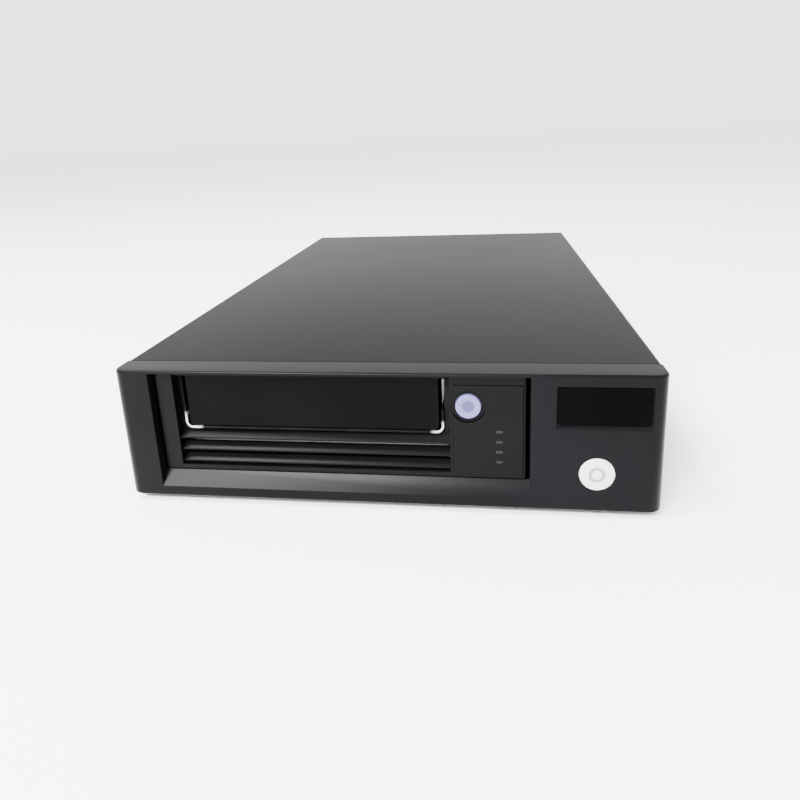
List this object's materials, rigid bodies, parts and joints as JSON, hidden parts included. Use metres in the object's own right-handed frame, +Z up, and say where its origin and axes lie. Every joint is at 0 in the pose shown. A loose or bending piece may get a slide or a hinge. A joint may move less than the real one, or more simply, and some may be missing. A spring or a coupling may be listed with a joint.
{
  "type": "data tape drive",
  "caption": "Low, wide desktop tape drive: a half-height tape mechanism with a drop-down cartridge tray in a steel case with supply, fan and power button.",
  "frame": {"origin": "middle of the footprint, on the surface that the rubber feet stand on", "axes": "+X to the right seen from the front, +Y to the rear, +Z up"},
  "size_m": [0.213, 0.332, 0.058],
  "materials": {
    "cover_paint": "fine textured charcoal powder coat",
    "zinc_sheet": "zinc-plated sheet",
    "bezel_moulding": "spark-eroded black moulding",
    "badge_blank": "smooth satin, blank",
    "face_moulding": "fine-textured black moulding",
    "white_button": "satin white",
    "lilac_button": "satin lilac grey",
    "smoke_lens": "smoked light pipe, unlit",
    "rubber": "matt black",
    "screw_steel": "zinc-plated",
    "black_screw": "black oxide",
    "bright_steel": "bright rolled edge",
    "deck_alloy": "die-cast, bead-blasted",
    "lid_sheet": "bright zinc-plated sheet",
    "gear_acetal": "natural acetal",
    "black_acetal": "black acetal",
    "circuit_board": "solder mask",
    "chip_epoxy": "moulded epoxy",
    "motor_can": "plated can",
    "roller_alloy": "turned and polished",
    "fan_moulding": "glass-filled black",
    "socket_shell": "bright nickel shell",
    "inlet_moulding": "black thermoplastic",
    "blade_plating": "nickel-plated",
    "winding": "yellow winding tape and ferrite",
    "capacitor_sleeve": "shrink sleeve",
    "heat_sink_alloy": "natural anodise",
    "nickel_post": "nickel-plated standoff"
  },
  "bodies": {
    "case": {"top_cover": "cover_paint", "base_chassis": "zinc_sheet", "rubber_feet": "rubber", "cover_screws": "black_screw", "front_bezel": "bezel_moulding", "bezel_screws": "screw_steel", "badge_plate": "badge_blank", "power_switch_board": "circuit_board", "mech_deck": "deck_alloy", "mech_lid": "lid_sheet", "lid_screws": "screw_steel", "mech_face": "face_moulding", "entry_guide": "bright_steel", "button_board": "circuit_board", "light_pipes": "smoke_lens", "loader_bracket": "zinc_sheet", "loader_motor": "motor_can", "supply_stator": "motor_can", "takeup_stator": "motor_can", "deck_pins": "bright_steel", "head_rods": "bright_steel", "head_bridge": "deck_alloy", "head_motor": "motor_can", "threader_rail": "black_acetal", "controller_board": "circuit_board", "controller_chips": "chip_epoxy", "mech_sockets": "inlet_moulding", "mount_rails": "zinc_sheet", "fan_frame": "fan_moulding", "fan_guard": "bright_steel", "fan_screws": "screw_steel", "mains_inlet": "inlet_moulding", "inlet_blades": "blade_plating", "data_sockets": "socket_shell", "interface_board": "circuit_board", "board_standoffs": "nickel_post", "psu_board": "circuit_board", "psu_transformer": "winding", "psu_capacitors": "capacitor_sleeve", "psu_heat_sinks": "heat_sink_alloy", "psu_cage": "zinc_sheet"},
    "power_key": {"power_button": "white_button"},
    "eject_key": {"eject_button": "lilac_button"},
    "door": {"tape_door": "face_moulding"},
    "tray": {"cartridge_tray": "zinc_sheet"},
    "cam": {"cam_slider": "zinc_sheet"},
    "loader_wheel": {"loader_gear": "gear_acetal"},
    "loader_drive": {"motor_pinion": "roller_alloy"},
    "supply_drive": {"supply_clutch": "gear_acetal"},
    "takeup_drive": {"takeup_rotor": "motor_can", "takeup_reel": "black_acetal"},
    "roller_1": {"guide_roller_1": "roller_alloy"},
    "roller_2": {"guide_roller_2": "roller_alloy"},
    "roller_3": {"guide_roller_3": "roller_alloy"},
    "roller_4": {"guide_roller_4": "roller_alloy"},
    "tape_head": {"head_carriage": "roller_alloy"},
    "lift_screw": {"head_screw": "bright_steel"},
    "threader": {"leader_catcher": "gear_acetal"},
    "fan_impeller": {"fan_rotor": "fan_moulding"}
  },
  "joints": [
    {"name": "power_press", "type": "slide", "parent": "case", "child": "power_key", "axis": [0, 1, 0], "range_m": [0, 0.0016], "stiffness_N_per_m": 600, "springref_m": -0.0012},
    {"name": "eject_press", "type": "slide", "parent": "case", "child": "eject_key", "axis": [0, 1, 0], "range_m": [0, 0.001], "stiffness_N_per_m": 600, "springref_m": -0.001},
    {"name": "door_swing", "type": "hinge", "parent": "case", "child": "door", "pos_m": [-0.02775, -0.15875, 0.05425], "axis": [1, 0, 0], "range_deg": [0, 90], "stiffness_Nm_per_rad": 0.0015, "springref_deg": -20.05},
    {"name": "cam_slide", "type": "slide", "parent": "case", "child": "cam", "axis": [0, 1, 0], "range_m": [0, 0.02]},
    {"name": "tray_drop", "type": "slide", "parent": "case", "child": "tray", "axis": [0, 0, -1], "range_m": [0, 0.0065]},
    {"name": "loader_turn", "type": "hinge", "parent": "case", "child": "loader_wheel", "pos_m": [0.03575, -0.0947, 0.0293], "axis": [0, 0, 1], "range_deg": [-191.04, 0]},
    {"name": "loader_drive_turn", "type": "hinge", "parent": "case", "child": "loader_drive", "pos_m": [0.04528, -0.0892, 0.0332], "axis": [0, 0, 1], "range_deg": [0, 509.35]},
    {"name": "supply_turn", "type": "hinge", "parent": "case", "child": "supply_drive", "pos_m": [-0.02775, -0.0976, 0.0233], "axis": [0, 0, 1], "continuous": true},
    {"name": "takeup_turn", "type": "hinge", "parent": "case", "child": "takeup_drive", "pos_m": [0.0107, 0.0105, 0.0233], "axis": [0, 0, 1], "continuous": true},
    {"name": "roller_1_turn", "type": "hinge", "parent": "case", "child": "roller_1", "pos_m": [-0.0737, -0.0235, 0.02863], "axis": [0, 0, 1], "continuous": true},
    {"name": "roller_2_turn", "type": "hinge", "parent": "case", "child": "roller_2", "pos_m": [-0.0777, -0.0075, 0.02863], "axis": [0, 0, 1], "continuous": true},
    {"name": "roller_3_turn", "type": "hinge", "parent": "case", "child": "roller_3", "pos_m": [-0.0777, 0.0285, 0.02863], "axis": [0, 0, 1], "continuous": true},
    {"name": "roller_4_turn", "type": "hinge", "parent": "case", "child": "roller_4", "pos_m": [-0.0737, 0.0445, 0.02863], "axis": [0, 0, 1], "continuous": true},
    {"name": "head_lift", "type": "slide", "parent": "case", "child": "tape_head", "axis": [0, 0, 1], "range_m": [0, 0.005]},
    {"name": "lift_screw_turn", "type": "hinge", "parent": "case", "child": "lift_screw", "pos_m": [-0.0792, 0.0105, 0.0233], "axis": [0, 0, 1], "range_deg": [0, 720.05]},
    {"name": "threader_slide", "type": "slide", "parent": "case", "child": "threader", "axis": [0, 1, 0], "range_m": [0, 0.068]},
    {"name": "fan_spin", "type": "hinge", "parent": "case", "child": "fan_impeller", "pos_m": [-0.0605, 0.1423, 0.03035], "axis": [0, 1, 0], "continuous": true}
  ],
  "couplings": [
    {"joint": "tray_drop", "follows": "cam_slide", "ratio": 0.325},
    {"joint": "loader_turn", "follows": "cam_slide", "rad_per_m": -166.67},
    {"joint": "loader_drive_turn", "follows": "cam_slide", "rad_per_m": 444.44},
    {"joint": "lift_screw_turn", "follows": "head_lift", "rad_per_m": 2513.3}
  ]
}
